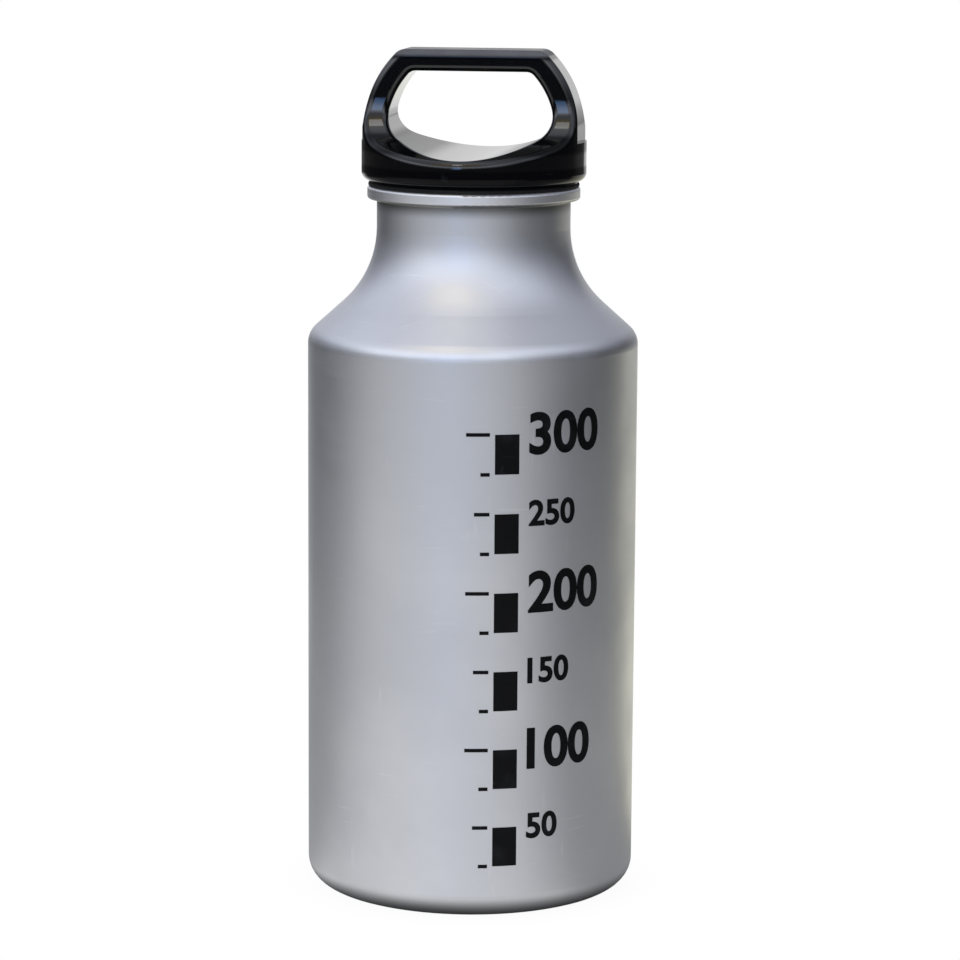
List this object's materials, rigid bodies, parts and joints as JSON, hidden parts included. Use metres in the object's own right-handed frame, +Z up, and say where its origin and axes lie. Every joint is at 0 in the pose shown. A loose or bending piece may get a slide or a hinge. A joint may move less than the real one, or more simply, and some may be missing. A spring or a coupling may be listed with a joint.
{
  "type": "camping fuel bottle",
  "caption": "Bare aluminium fuel bottle with straight body, coned shoulder and lipped neck, closed by a black screw cap with a carrying loop and a rubber seal.",
  "frame": {"origin": "on the floor under the bottle's axis, at the centre of the foot ring", "axes": "+Z up along the bottle's axis, +X along the closed cap's carrying loop, -Y towards the viewer"},
  "size_m": [0.066, 0.066, 0.1687],
  "materials": {
    "bare_aluminium": "satin, clear coated",
    "cap_plastic": "gloss moulded",
    "seal_rubber": "matt"
  },
  "bodies": {
    "bottle": {"bottle_shell": "bare_aluminium"},
    "seal": {"cap_seal": "seal_rubber"},
    "cap": {"screw_cap": "cap_plastic"}
  },
  "joints": [
    {"name": "cap_rise", "type": "slide", "parent": "bottle", "child": "seal", "axis": [0, 0, 1], "range_m": [0, 0.01226]},
    {"name": "cap_turn", "type": "hinge", "parent": "seal", "child": "cap", "pos_m": [0, 0, 0.14235], "axis": [0, 0, 1], "range_deg": [0, 1260]}
  ],
  "couplings": [
    {"joint": "cap_rise", "follows": "cap_turn", "m_per_rad": 0.00055704}
  ]
}
